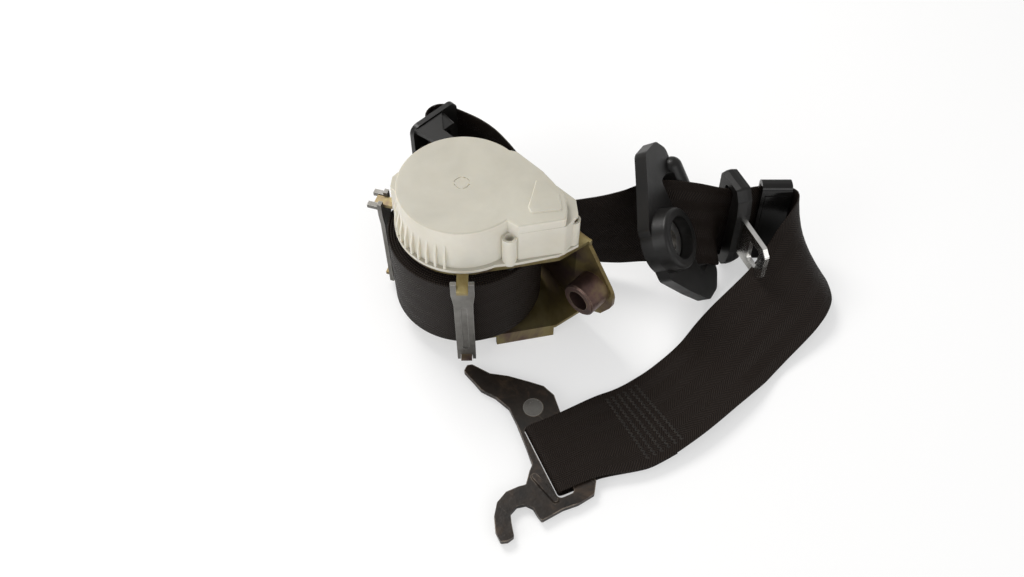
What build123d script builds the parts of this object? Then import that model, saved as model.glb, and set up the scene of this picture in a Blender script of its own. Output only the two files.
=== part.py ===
# Three-point seat belt: inertia reel, webbing, pillar loop, tongue, keeper and hooked floor anchor.
# Millimetres. The reel lies on its side, spool axis along +Z through the origin, floor at z = 0.
# +X points to the mounting ear and +Y to the back of the frame.
import os
from math import cos, sin, radians, degrees, atan2, sqrt, pi
from build123d import *

os.makedirs("parts", exist_ok=True)

# Webbing
web_width = 47.0
web_thick = 1.2
roll_radius = 39.0
soft_gap = 0.3
belt_turn = 44.0          # the belt is laid out at this angle to the back plate

# Frame sheet
sheet = 2.0
low_plate = 7.0           # underside of the lower side plate
roll_bottom = low_plate + sheet + 5.0
roll_top = roll_bottom + web_width
high_plate = roll_top + 3.0         # underside of the upper side plate
cover_base = high_plate + sheet
frame_round = 34.0
back_y = 43.5
ear_y = 34.0
joggle_start = 16.0
joggle_end = 48.0
corner_x = 54.5
ear_tip = 73.0
ear_hole_x = 61.0
ear_hole_z = (low_plate + cover_base) / 2 - 0.5
bolt_bore = 11.5

pin_places = [(49.0, 25.5), (35.0, -3.6), (-22.0, 37.0)]

# Lock teeth in the upper side plate
lock_teeth = 36
tooth_tip = 25.3
tooth_root = 27.6

# Spool and its axle
core_radius = 14.0
flange_radius = 30.0
torsion_radius = 5.0
spline_radius = 6.5
spline_count = 12
core_bore = 7.2
journal_radius = 9.0
running_gap = 0.05
stem_radius = 4.0
square_drive = 5.0

# Cover over the lock and the mainspring
cover_top = cover_base + 26.0
wing_top = cover_base + 21.0
spring_plate_radius = 29.6
cover_round = spring_plate_radius + 3.0
cover_flange = cover_round + 1.9
cover_draft = 2.0
lock_bay = spring_plate_radius + 1.6
spring_bay = spring_plate_radius - 1.0
spring_plate_z = cover_base + 9.0

# Mainspring
spring_turns = 7
spring_inner = 10.5
spring_pitch = 2.3
spring_strip = 0.5
spring_low = spring_plate_z + 2.7
spring_width = 10.0

# Webbing guide
guide_x = -63.0
guide_slot_y = 39.0
guide_slot_length = web_width + 5.0
guide_slot_width = 4.4
guide_middle = roll_bottom + web_width / 2

# Pillar loop, tongue and keeper
loop_slot = web_width + 11.0
loop_slot_shift = -1.6
tongue_slot = web_width + 3.0
loop_slot_width = 11.5
loop_plate = 3.0
loop_half = loop_slot / 2 + 15.0
cup_radius = 17.0
tongue_slot_width = 8.0
tongue_plate_thick = 2.6
keeper_wall = 2.2

# Floor anchor
anchor_low = 2.2
anchor_thick = 3.0
anchor_slot_turn = -22.0
anchor_slot_length = 41.0
anchor_slot_width = 9.0
loop_width_at_anchor = anchor_slot_length - 2.5


def save(builder, name):
    builder.part.label = name
    export_step(builder.part, "parts/" + name + ".step")


def laid(x, y, z):
    """A point given along and across the laid-out belt, as a point of the reel's frame."""
    turn = radians(belt_turn)
    return Vector(x * cos(turn) - y * sin(turn), x * sin(turn) + y * cos(turn), z)


def polar(radius, angle):
    return (radius * cos(radians(angle)), radius * sin(radians(angle)))


def strap(stations, start=None, end=None, thick=web_thick):
    """Cross-sections of a flat strap at pairs of edge points (upper edge, lower edge).

    start and end set the direction of travel where one stretch meets the next."""
    sections = []
    middles = [(top + low) * 0.5 for top, low in stations]
    last = len(stations) - 1
    for index, (top, low) in enumerate(stations):
        ahead = middles[min(index + 1, last)] - middles[max(index - 1, 0)]
        if index == 0 and start:
            ahead = start
        if index == last and end:
            ahead = end
        across = top - low
        facing = across.cross(ahead.cross(across))
        plane = Plane(origin=middles[index], x_dir=across, z_dir=facing)
        with BuildSketch(plane) as section:
            Rectangle(across.length, thick)
        sections.append(section.sketch)
    return sections


# Frame: two side plates folded from one sheet with the back plate and the ear

def side_plate_outline():
    with BuildLine() as outline:
        edge = Polyline((-frame_round, 0), (-frame_round, 24), (-30, back_y), (joggle_start, back_y),
                        (joggle_end, ear_y), (corner_x, ear_y), (51.2, 14.8), (30.2, -15.6))
        ThreePointArc(edge @ 1, polar(frame_round, 250), edge @ 0)
    return outline.edges()


with BuildPart() as frame:
    for plate_z in (low_plate, high_plate):
        with BuildSketch(Plane.XY.offset(plate_z)) as side_plate:
            make_face(side_plate_outline())
            # tabs that carry the two tie bars
            with PolarLocations(37, 1, -45.5):
                Rectangle(18, 5.6)
            with PolarLocations(38.5, 1, 207):
                Rectangle(17, 5.6)
        extrude(amount=sheet)
    # back plate with the joggle toward the ear
    with BuildSketch(Plane.XY.offset(low_plate)) as back_strip:
        with BuildLine():
            Polyline((-30, back_y), (joggle_start, back_y), (joggle_end, ear_y), (ear_tip, ear_y),
                     (ear_tip, ear_y - sheet), (joggle_end - 0.5, ear_y - sheet),
                     (joggle_start - 0.5, back_y - sheet), (-30, back_y - sheet), close=True)
        make_face()
    extrude(amount=high_plate + sheet - low_plate)
    # the ear narrows to a rounded end around the bolt hole
    with BuildSketch(Plane.XZ.offset(-back_y - 5)) as ear_cut:
        with Locations((ear_tip, ear_hole_z)):
            Rectangle(2 * (ear_tip - 55), 2 * cover_base)
        with BuildLine():
            ear = Polyline((50, cover_base), (55, cover_base - 3.5), (58.5, cover_base - 8.1),
                           (69.5, ear_hole_z + 7))
            ThreePointArc(ear @ 1, (ear_tip, ear_hole_z - 0.5), (71.8, ear_hole_z - 9.5))
            Polyline((71.8, ear_hole_z - 9.5), (66.6, ear_hole_z - 18.5), (56, low_plate + 4.5),
                     (50, low_plate), (50, cover_base))
        make_face(mode=Mode.SUBTRACT)
    extrude(amount=30, mode=Mode.SUBTRACT)
    with BuildSketch(Plane.XZ.offset(-back_y - 5)):
        with Locations((ear_hole_x, ear_hole_z)):
            Circle(bolt_bore / 2 + 1.4)
    extrude(amount=30, mode=Mode.SUBTRACT)
    # window that lightens the back plate
    with BuildSketch(Plane.XZ.offset(-back_y - 5)):
        with Locations((-7, ear_hole_z + 0.5)):
            SlotOverall(34, 22)
    extrude(amount=9, mode=Mode.SUBTRACT)
    # lip folded down along the slanting edge of the lower plate
    with BuildSketch(Plane.XY) as lip:
        with BuildLine():
            Polyline((33.2, -11.5), (50.6, 14.0), (48.9, 15.1), (31.5, -10.4), close=True)
        make_face()
    extrude(amount=low_plate + sheet)
    # toothed opening in the upper plate
    with BuildSketch(Plane.XY.offset(high_plate)) as opening:
        Circle(tooth_tip)
        with PolarLocations(0, lock_teeth):
            with BuildLine():
                Polyline((tooth_tip - 0.5, -1.9), polar(tooth_root, 3.2), polar(tooth_root, 4.4),
                         (tooth_tip - 0.5, 2.0), close=True)
            make_face()
    extrude(amount=sheet, mode=Mode.SUBTRACT)
    # bearing hole in the lower plate and pin holes for the cover
    with Locations((0, 0, low_plate)):
        Hole(12.0, depth=sheet + 1)
    with BuildSketch(Plane.XY.offset(low_plate)):
        Circle(12.0)
    extrude(amount=sheet, mode=Mode.SUBTRACT)
    with BuildSketch(Plane.XY.offset(high_plate)):
        with Locations(*pin_places):
            Circle(1.6)
    extrude(amount=sheet, mode=Mode.SUBTRACT)
    # lugs that the webbing guide snaps onto
    for plate_z in (low_plate, high_plate):
        with BuildSketch(Plane.XY.offset(plate_z)):
            with Locations((-38.5, 30)):
                Rectangle(12, 10)
        extrude(amount=sheet)
        with BuildSketch(Plane.XY.offset(plate_z)):
            with Locations((-40, 30)):
                Rectangle(3, 5)
        extrude(amount=sheet, mode=Mode.SUBTRACT)
save(frame, "frame")


# Tie bars between the side plates, forked over the tabs

def tie_bar(angle, distance, flare):
    bar_thick = 2.2
    bar_wide = 9.5
    bar_top = high_plate + 4.2
    face = Plane(origin=(*polar(distance, angle), 0), x_dir=(*polar(1, angle + 90), 0),
                 z_dir=(*polar(1, angle), 0))
    with BuildPart() as bar:
        with BuildSketch(face):
            with BuildLine():
                Polyline((-bar_wide / 2, 4.6), (-3.2, 4.6), (-2.9, low_plate + sheet),
                         (2.9, low_plate + sheet), (3.2, 4.6), (bar_wide / 2, 4.6),
                         (bar_wide / 2, high_plate - 12), (bar_wide / 2 + 1, high_plate - 4),
                         (bar_wide / 2 + 1, bar_top), (2.9, bar_top), (2.9, high_plate),
                         (-2.9, high_plate), (-2.9, bar_top), (-bar_wide / 2 - 1, bar_top),
                         (-bar_wide / 2 - 1, high_plate - 4), (-bar_wide / 2, high_plate - 12), close=True)
            make_face()
        extrude(amount=bar_thick)
        # pressed groove down the middle
        with BuildSketch(face.offset(bar_thick)):
            with Locations((0, high_plate / 2)):
                SlotOverall(high_plate - 28, 3.2, rotation=90)
        extrude(amount=-0.6, mode=Mode.SUBTRACT)
        if flare:
            # the two upper prongs are turned outward
            with BuildSketch(face.offset(bar_thick)):
                with Locations((4.3, high_plate + 1.4), (-4.3, high_plate + 1.4)):
                    Rectangle(2.8, 2.2)
            extrude(amount=5.5)
    return bar


tie_bar_front = tie_bar(-45.5, 41.0, False)
save(tie_bar_front, "tie_bar_front")

tie_bar_left = tie_bar(207, 42.0, True)
save(tie_bar_left, "tie_bar_left")


# Bolt sleeve pressed into the ear

sleeve_outer = 9.4
with BuildPart() as mount_sleeve:
    with BuildSketch(Plane.XZ.offset(-ear_y - 1.2)):
        with Locations((ear_hole_x, ear_hole_z)):
            Circle(bolt_bore / 2 + 1.4)
    extrude(amount=sheet + 1.2)
    with BuildSketch(Plane.XZ.offset(-ear_y + sheet)):
        with Locations((ear_hole_x, ear_hole_z)):
            Circle(sleeve_outer)
    extrude(amount=13)
    chamfer(mount_sleeve.faces().sort_by(Axis.Y)[0].edges(), 0.8)
    with BuildSketch(Plane.XZ.offset(-ear_y - 1.2)):
        with Locations((ear_hole_x, ear_hole_z)):
            Circle(bolt_bore / 2)
    extrude(amount=30, mode=Mode.SUBTRACT)
save(mount_sleeve, "mount_sleeve")


# Bottom bearing and its cap

with BuildPart() as bottom_bush:
    with BuildSketch(Plane.XY.offset(3)):
        Circle(12.0)
        Circle(journal_radius + running_gap, mode=Mode.SUBTRACT)
    extrude(amount=low_plate + sheet - 3)
    with BuildSketch(Plane.XY.offset(low_plate + sheet)):
        Circle(16)
        Circle(journal_radius + running_gap, mode=Mode.SUBTRACT)
    extrude(amount=0.8)
save(bottom_bush, "bottom_bush")

with BuildPart() as bottom_cap:
    with BuildSketch(Plane.XY):
        Circle(21)
    extrude(amount=low_plate)
    chamfer(bottom_cap.faces().sort_by(Axis.Z)[0].edges(), 1.2)
    with BuildSketch(Plane.XY.offset(1.6)):
        Circle(19.4)
        Circle(13.8, mode=Mode.SUBTRACT)
    extrude(amount=10, mode=Mode.SUBTRACT)
    with BuildSketch(Plane.XY.offset(1.6)):
        Circle(12.0)
    extrude(amount=10, mode=Mode.SUBTRACT)
    with BuildSketch(Plane.XY.offset(1.6)):
        with PolarLocations(16.6, 6):
            Rectangle(6.4, 1.4)
    extrude(amount=low_plate - 2.6)
save(bottom_cap, "bottom_cap")


# Spool with its torsion bar, webbing pin and locking base

with BuildPart() as spool:
    with BuildSketch(Plane.XY.offset(10.1)):
        Circle(flange_radius)
    extrude(amount=3.2)
    chamfer(spool.edges().filter_by(GeomType.CIRCLE), 0.8)
    with BuildSketch(Plane.XY.offset(13.3)):
        Circle(core_radius)
    extrude(amount=roll_top + 0.5 - 13.3)
    with BuildSketch(Plane.XY.offset(roll_top + 0.5)) as top_flange:
        Circle(24.0)
        with PolarLocations(22.5, 6, 30):
            Circle(4.2, mode=Mode.SUBTRACT)
    extrude(amount=1.9)
    with BuildSketch(Plane.XY.offset(3.4)):
        Circle(journal_radius)
    extrude(amount=6.7)
    # splined well for the torsion bar
    with BuildSketch(Plane.XY.offset(5)):
        Circle(core_bore)
    extrude(amount=roll_top, mode=Mode.SUBTRACT)
    with BuildSketch(Plane.XY.offset(5)):
        Circle(core_bore)
        Circle(torsion_radius + 0.6, mode=Mode.SUBTRACT)
        with PolarLocations(spline_radius - 0.8, spline_count):
            Rectangle(1.8, 1.5, mode=Mode.SUBTRACT)
    extrude(amount=8)
    # slit and pocket that take the sewn webbing end
    with BuildSketch(Plane.XY.offset(roll_bottom - 0.5)):
        with Locations((0, 10.6)):
            Circle(2.7)
        with Locations((4.5, 12.2)):
            Rectangle(12, 2.6, rotation=-20)
    extrude(amount=web_width + 3, mode=Mode.SUBTRACT)
    # moulded weight-saving pockets in the lower flange
    with BuildSketch(Plane.XY.offset(10.1)):
        with PolarLocations(22, 8):
            SlotOverall(9, 4.6, rotation=90)
    extrude(amount=1.8, mode=Mode.SUBTRACT)
save(spool, "spool")

with BuildPart() as webbing_pin:
    with BuildSketch(Plane.XY.offset(roll_bottom + 0.5)):
        with Locations((0, 10.6)):
            Circle(2.2)
    extrude(amount=web_width - 1)
    chamfer(webbing_pin.edges().filter_by(GeomType.CIRCLE), 0.5)
save(webbing_pin, "webbing_pin")

with BuildPart() as torsion_bar:
    with BuildSketch(Plane.XY.offset(5.5)):
        Circle(torsion_radius)
    extrude(amount=high_plate - 2)
    for low in (5.5, high_plate - 2.5):
        with BuildSketch(Plane.XY.offset(low)):
            Circle(torsion_radius + 0.5)
            with PolarLocations(spline_radius - 0.8, spline_count):
                Rectangle(1.6, 1.3)
        extrude(amount=6)
save(torsion_bar, "torsion_bar")

pawl_pivot = polar(16.5, 215)
with BuildPart() as locking_base:
    with BuildSketch(Plane.XY.offset(high_plate - 0.4)):
        Circle(24.4)
        Circle(torsion_radius + 0.6, mode=Mode.SUBTRACT)
        with PolarLocations(spline_radius - 0.8, spline_count):
            Rectangle(1.8, 1.5, mode=Mode.SUBTRACT)
    extrude(amount=3.9)
    with BuildSketch(Plane.XY.offset(high_plate + 3.5)):
        Circle(24.4)
    extrude(amount=1.7)
    chamfer(locking_base.faces().sort_by(Axis.Z)[-1].edges(), 0.6)
    with BuildSketch(Plane.XY.offset(high_plate + 5.2)):
        Circle(stem_radius)
    extrude(amount=8.6)
    with BuildSketch(Plane.XY.offset(high_plate + 13.8)):
        Rectangle(square_drive, square_drive)
    extrude(amount=10)
    # pocket for the pawl, open toward the lock teeth
    with BuildSketch(Plane.XY.offset(high_plate - 0.4)):
        with Locations(pawl_pivot):
            Circle(4.4)
        with BuildLine():
            Polyline(polar(12.4, 219), polar(12.6, 265), polar(13.4, 296), polar(30, 302), polar(32, 280),
                     polar(32, 250), polar(28, 219), close=True)
        make_face()
    extrude(amount=3.1, mode=Mode.SUBTRACT)
    # pivot hole and the sweep of the pawl's guide pin
    with BuildSketch(Plane.XY.offset(cover_base)):
        with Locations(pawl_pivot):
            Circle(2.05)
        with Locations((1.9, -19.1)):
            SlotOverall(6.4, 3.5, rotation=62)
    extrude(amount=6, mode=Mode.SUBTRACT)
save(locking_base, "locking_base")

with BuildPart() as lock_pawl:
    with BuildSketch(Plane.XY.offset(high_plate - 0.1)) as pawl_body:
        with Locations(pawl_pivot):
            Circle(3.7)
        with BuildLine():
            Polyline(polar(14.2, 222), polar(13.9, 245), polar(14.6, 268), polar(16.4, 288),
                     polar(24.2, 290.5), polar(22.3, 286), polar(24.2, 281), polar(22.3, 276.5),
                     polar(24.2, 271.5), polar(21.8, 266), polar(21.2, 240), polar(19.8, 222), close=True)
        make_face()
    extrude(amount=2.6)
    with BuildSketch(Plane.XY.offset(cover_base + 0.5)):
        with Locations(pawl_pivot):
            Circle(2.0)
    extrude(amount=2.5)
    with BuildSketch(Plane.XY.offset(cover_base + 0.5)):
        with Locations(polar(18.2, 278)):
            Circle(1.3)
    extrude(amount=5.8)
save(lock_pawl, "lock_pawl")

lock_disc_teeth = 48
with BuildPart() as lock_disc:
    with BuildSketch(Plane.XY.offset(cover_base + 4)) as disc_shape:
        Circle(25.6)
        with PolarLocations(0, lock_disc_teeth):
            with BuildLine():
                Polyline((25.2, -1.6), (27.2, 1.2), (25.2, 1.5), close=True)
            make_face()
        Circle(stem_radius + running_gap, mode=Mode.SUBTRACT)
        with Locations((4.0, -18.8)):
            SlotOverall(7.4, 3.7, rotation=-28, mode=Mode.SUBTRACT)
        with PolarLocations(16, 3, 15):
            SlotOverall(12, 5, rotation=90, mode=Mode.SUBTRACT)
    extrude(amount=3)
    with BuildSketch(Plane.XY.offset(cover_base + 7)):
        Circle(8)
        Circle(stem_radius + running_gap, mode=Mode.SUBTRACT)
    extrude(amount=1.2)
    with BuildSketch(Plane.XY.offset(cover_base + 3.5)):
        Circle(8)
        Circle(stem_radius + running_gap, mode=Mode.SUBTRACT)
    extrude(amount=0.5)
save(lock_disc, "lock_disc")


# Mainspring cassette: plate, bush, arbor and spiral

with BuildPart() as spring_plate:
    with BuildSketch(Plane.XY.offset(spring_plate_z)):
        Circle(spring_plate_radius)
        Circle(7, mode=Mode.SUBTRACT)
    extrude(amount=1.8)
    with BuildSketch(Plane.XY.offset(spring_plate_z + 1.8)):
        with PolarLocations(18, 9):
            SlotOverall(9, 1.6, rotation=0)
    extrude(amount=0.6)
save(spring_plate, "spring_plate")

with BuildPart() as top_bush:
    with BuildSketch(Plane.XY.offset(spring_plate_z - 0.4)):
        Circle(9)
        Circle(stem_radius + running_gap, mode=Mode.SUBTRACT)
    extrude(amount=0.4)
    with BuildSketch(Plane.XY.offset(spring_plate_z)):
        Circle(7)
        Circle(stem_radius + running_gap, mode=Mode.SUBTRACT)
    extrude(amount=2.3)
save(top_bush, "top_bush")

with BuildPart() as spring_arbor:
    with BuildSketch(Plane.XY.offset(cover_base + 11.9)):
        Circle(8.6)
        Rectangle(square_drive, square_drive, mode=Mode.SUBTRACT)
    extrude(amount=11)
    with BuildSketch(Plane.XY.offset(cover_base + 11.9)):
        with Locations((8.2, 0)):
            Rectangle(1.2, 3.2)
    extrude(amount=11, mode=Mode.SUBTRACT)
save(spring_arbor, "spring_arbor")

with BuildPart() as mainspring:
    with BuildSketch(Plane.XY.offset(spring_low)):
        with BuildLine() as coil:
            # half circles whose radius grows by half a pitch each time
            radius = spring_inner
            side = 1
            start = spring_inner
            for half in range(2 * spring_turns):
                reach = start - side * 2 * radius
                CenterArc((start - side * radius, 0), radius, 0 if side > 0 else 180, 180)
                start = reach
                radius += spring_pitch / 4
                side = -side
            offset(amount=spring_strip / 2)
        make_face()
    extrude(amount=spring_width)
save(mainspring, "mainspring")


# Cover: round drum and sensor wing under one flat top, on a thin flange with ribs

wing_outline = [(-4, 29), (4, 33.6), (22, 32.8), (31, 31.0), (41, 28.4), (47.6, 22.4), (51.2, 17.5), (38.5, -1.0),
                (26, -2.5), (8, -12)]
lower_wing = [(4, 34.4), (43.5, 33.2), (50.6, 27), (51.4, 17.5), (38.6, -1.0), (20, -2)]
boss_places = pin_places[:2]
rear_boss = pin_places[2]

with BuildPart() as mechanism_cover:
    with BuildSketch(Plane.XY.offset(cover_base)):
        Circle(cover_round)
    extrude(amount=cover_top - cover_base, taper=cover_draft)
    with BuildSketch(Plane.XY.offset(cover_base)) as wing:
        with BuildLine():
            Polyline(*wing_outline, close=True)
        make_face()
        fillet(wing.vertices().sort_by(Axis.X)[-3:], 2)
    extrude(amount=cover_top - cover_base)
    fillet(mechanism_cover.faces().filter_by(Plane.XY).sort_by(Axis.Z)[-1].outer_wire().edges(), 0.9)
    # lower step of the wing behind and to the right
    with BuildSketch(Plane.XY.offset(cover_base)) as step:
        with BuildLine():
            Polyline(*lower_wing, close=True)
        make_face()
        fillet(step.vertices().sort_by(Axis.X)[-3:], 2)
    extrude(amount=wing_top - cover_base)
    # thin flange on the side plate
    with BuildSketch(Plane.XY.offset(cover_base)) as flange:
        Circle(cover_flange)
        with BuildLine():
            Polyline((8, -cover_flange + 2), (30.2, -14.2), (39.5, -2.6), (50.4, 14.6), (53, 26), (44, 33.4), (4, 34.4),
                     close=True)
        make_face()
    extrude(amount=1.8)
    # raised triangular pad on the wing
    with BuildSketch(Plane.XY.offset(cover_top)) as pad:
        with BuildLine():
            Polyline((23, 27.6), (29, 18), (33.2, 10.6), (37, 8.6), (46.4, 20.4), (38.6, 26.8), close=True)
        make_face()
        fillet(pad.vertices(), 1.6)
    extrude(amount=0.8, taper=30)
    # bosses that take the fixing pins, and the lug on the left
    with BuildSketch(Plane.XY.offset(cover_base)):
        with Locations(boss_places[0]):
            Circle(3.4)
        with Locations(boss_places[1]):
            Circle(3.6)
    extrude(amount=18)
    with BuildSketch(Plane.XY.offset(cover_base)) as rear_lug:
        with Locations(rear_boss):
            Circle(4)
        with BuildLine():
            Polyline((-27, 20), (-26, 37), (-18, 37), (-12, 30), close=True)
        make_face()
    extrude(amount=7)
    with BuildSketch(Plane.XY.offset(cover_base)) as left_lug:
        with BuildLine():
            Polyline(polar(30, 187), polar(36.4, 192), polar(38.2, 203), polar(36.8, 214), polar(30, 223), close=True)
        make_face()
        fillet(left_lug.vertices().sort_by(Axis.X)[:3], 1.8)
    extrude(amount=16, taper=2)
    # hollow inside: wide bay for the lock, narrower drum for the spring
    with BuildSketch(Plane.XY.offset(cover_base)):
        Circle(lock_bay)
    extrude(amount=spring_plate_z - cover_base, mode=Mode.SUBTRACT)
    with BuildSketch(Plane.XY.offset(spring_plate_z)):
        Circle(spring_plate_radius)
    extrude(amount=1.8, mode=Mode.SUBTRACT)
    with BuildSketch(Plane.XY.offset(spring_plate_z + 1.8)):
        Circle(spring_bay)
    extrude(amount=cover_top - 2 - spring_plate_z - 1.8, mode=Mode.SUBTRACT)
    # sensor bay in the wing
    with BuildSketch(Plane.XY.offset(cover_base)):
        with BuildLine():
            Polyline((24, 31.0), (42, 30.6), (45, 27), (44.6, 19.5), (48.4, 18.0), (36.8, 1.8), (28, 1.8),
                     close=True)
        make_face()
    extrude(amount=17, mode=Mode.SUBTRACT)
    with BuildSketch(Plane.XY.offset(cover_base + 17)):
        with BuildLine():
            Polyline((22, 30.0), (30, 28.8), (39.6, 26.4), (45.4, 21.2), (48.0, 17.4), (36.8, 1.8), (28, 1.8), close=True)
        make_face()
    extrude(amount=cover_top - 2 - cover_base - 17, mode=Mode.SUBTRACT)
    with BuildSketch(Plane.XY.offset(spring_plate_z)):
        Circle(spring_plate_radius + 0.6)
        Circle(spring_plate_radius, mode=Mode.SUBTRACT)
    extrude(amount=1.8)
    with BuildSketch(Plane.XY.offset(spring_plate_z + 1.8)):
        Circle(spring_plate_radius + 0.6)
        Circle(spring_bay, mode=Mode.SUBTRACT)
    extrude(amount=cover_top - 1 - spring_plate_z - 1.8)
    # pin holes, opened wider from above in the front boss
    with BuildSketch(Plane.XY.offset(cover_base)):
        with Locations(boss_places[0], boss_places[1], rear_boss):
            Circle(1.6)
    extrude(amount=13, mode=Mode.SUBTRACT)
    with BuildSketch(Plane.XY.offset(cover_base + 13)):
        with Locations(boss_places[0], boss_places[1]):
            Circle(2.3)
    extrude(amount=6, mode=Mode.SUBTRACT)
    # stiffening fins down the front wall
    for angle in (-143, -133, -124, -116, -108, -100, -92, -84, -76, -68, -60):
        fin = Plane(origin=(*polar(cover_round - 1.1, angle), cover_base), x_dir=(*polar(1, angle), 0),
                    z_dir=(*polar(1, angle - 90), 0))
        with BuildSketch(fin):
            with BuildLine():
                Polyline((0, 0), (2.8, 0), (2.5, 9), (0, 19), close=True)
            make_face()
        extrude(amount=0.6, both=True)
    # round moulding mark: four arcs
    with BuildSketch(Plane.XY.offset(cover_top - 0.4)):
        Circle(4)
        Circle(3.3, mode=Mode.SUBTRACT)
        with PolarLocations(3.6, 4, 45):
            Rectangle(3, 1.4, mode=Mode.SUBTRACT)
    extrude(amount=1, mode=Mode.SUBTRACT)
save(mechanism_cover, "mechanism_cover")

with BuildPart() as cover_pins:
    for place in (boss_places[0], boss_places[1], rear_boss):
        with BuildSketch(Plane.XY.offset(high_plate - 1.6)):
            with Locations(place):
                Circle(2.8)
        extrude(amount=1.6)
        with BuildSketch(Plane.XY.offset(high_plate)):
            with Locations(place):
                Circle(1.6)
        extrude(amount=8.6)
save(cover_pins, "cover_pins")


# Vehicle sensor: ball in a cup under a lever that reaches the lock disc

ball_radius = 4.2
ball_place = (38.6, 15.5, cover_base + 7.0)
lever_pivot = (33.4, 27.0)

with BuildPart() as sensor_ball:
    with Locations(ball_place):
        Sphere(ball_radius)
save(sensor_ball, "sensor_ball")

with BuildPart() as sensor_housing:
    with BuildSketch(Plane.XY.offset(cover_base + 1.5)):
        with BuildLine():
            Polyline((35.6, 9.6), (41.6, 9.6), (44.0, 14), (44.0, 28.2), (31.2, 28.2), (31.2, 25.2),
                     (35.6, 25.2), close=True)
        make_face()
    extrude(amount=13.5)
    with Locations(ball_place):
        Sphere(ball_radius + 0.3, mode=Mode.SUBTRACT)
    with BuildSketch(Plane.YZ.offset(35)):
        with Locations((ball_place[1], ball_place[2])):
            Circle(ball_radius + 0.3)
    extrude(amount=ball_place[0] - 35, mode=Mode.SUBTRACT)
    with BuildSketch(Plane.XY.offset(cover_base + 3.5)):
        with Locations((33.2, 25.6)):
            Rectangle(5.6, 7)
    extrude(amount=7, mode=Mode.SUBTRACT)
    with BuildSketch(Plane.XY.offset(cover_base)):
        with Locations(lever_pivot):
            Circle(1.05)
    extrude(amount=12, mode=Mode.SUBTRACT)
save(sensor_housing, "sensor_housing")

with BuildPart() as sensor_lever:
    with BuildSketch(Plane.XY.offset(cover_base + 3.9)):
        with Locations(lever_pivot):
            Circle(2)
        with BuildLine():
            Polyline((32.2, 27), (34.3, 27), (34.0, 10), (31.2, 4.3), (28.8, 5.4), (31.8, 11), close=True)
        make_face()
    extrude(amount=4.7)
    with BuildSketch(Plane.XY.offset(cover_base + 1.9)):
        with Locations(lever_pivot):
            Circle(1.0)
    extrude(amount=9.6)
save(sensor_lever, "sensor_lever")


# Webbing guide: bezel with the exit slot, funnel and two snap arms

with BuildPart() as webbing_guide:
    with BuildSketch(Plane.YZ.offset(guide_x - 2)):
        with Locations((38.7, guide_middle - 0.7)):
            RectangleRounded(32, web_width + 18, 5)
    extrude(amount=3)
    with BuildSketch(Plane.YZ.offset(guide_x + 1)):
        with Locations((guide_slot_y, guide_middle)):
            RectangleRounded(14, web_width + 13, 3)
    extrude(amount=9, taper=8)
    # arms to the lugs of the side plates
    for arm_z in (low_plate - 2.4, high_plate + sheet):
        with BuildSketch(Plane.XY.offset(arm_z)):
            with BuildLine():
                Polyline((guide_x + 0.5, 24), (guide_x + 0.5, 44), (-52, 35), (-34.6, 34.6), (-34.6, 25.4),
                         (-52, 25.4), close=True)
            make_face()
        extrude(amount=2.4)
    with BuildSketch(Plane.XY.offset(low_plate)):
        with Locations((-40, 30)):
            Rectangle(3, 5)
    extrude(amount=1.6)
    with BuildSketch(Plane.XY.offset(high_plate + 0.4)):
        with Locations((-40, 30)):
            Rectangle(3, 5)
    extrude(amount=1.6)
    # flared slot with rounded lips
    with BuildSketch(Plane.YZ.offset(guide_x - 3)):
        with Locations((guide_slot_y, guide_middle)):
            RectangleRounded(guide_slot_width, guide_slot_length, 1.5)
    extrude(amount=20, mode=Mode.SUBTRACT)
    with BuildSketch(Plane.YZ.offset(guide_x - 2)):
        with Locations((guide_slot_y, guide_middle)):
            RectangleRounded(guide_slot_width + 3, guide_slot_length + 3, 2)
    extrude(amount=2, taper=35, mode=Mode.SUBTRACT)
save(webbing_guide, "webbing_guide")


# Webbing on the spool

with BuildPart() as webbing_roll:
    with BuildSketch(Plane.XY.offset(roll_bottom)):
        Circle(roll_radius)
        Circle(core_radius + soft_gap, mode=Mode.SUBTRACT)
    extrude(amount=web_width)
save(webbing_roll, "webbing_roll")


# Free webbing: rear run with its turn behind the guide

belt_way = laid(1, 0, 0)
first_upright = (laid(50, 22, 9 + web_width), laid(50, 22, 9))


def upright(x, y, low):
    return (Vector(x, y, low + web_width), Vector(x, y, low))


turn_radius = 8.4
turn_middle = guide_slot_y + turn_radius
rear_stations = [upright(-7, 39.0 + soft_gap + 0.75, roll_bottom), upright(-30, 39.2, roll_bottom),
                 upright(guide_x - 4, guide_slot_y, roll_bottom)]
for step in (30, 60, 90, 120, 150):
    rear_stations.append(upright(guide_x - 4 - turn_radius * sin(radians(step)),
                                 turn_middle - turn_radius * cos(radians(step)), roll_bottom))
rear_stations += [upright(guide_x - 4, turn_middle + turn_radius, roll_bottom), upright(-49.5, 59.5, roll_bottom),
                  upright(-38, 59.8, 13.8), upright(-27.6, 58.2, 13.5), upright(-12, 54.4, 13.0),
                  upright(4, 50.4, 12.0), upright(12, 49.2, 11.0)]
with BuildPart() as webbing_rear_run:
    loft(strap(rear_stations + [first_upright], end=belt_way), ruled=True)
save(webbing_rear_run, "webbing_rear_run")


# Straight run through pillar loop, tongue and keeper: middle point, height and backward lean

def leaning(x, y, z, lean):
    half = web_width / 2
    return (laid(x, y + half * sin(radians(lean)), z + half * cos(radians(lean))),
            laid(x, y - half * sin(radians(lean)), z - half * cos(radians(lean))))


def wide(top, low):
    """A slanting pair of edges, drawn for 47 mm webbing and spread about their middle for another width."""
    grow = (web_width / 47.0 - 1) / 2
    return (top + (top - low) * grow, low - (top - low) * grow)


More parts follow.
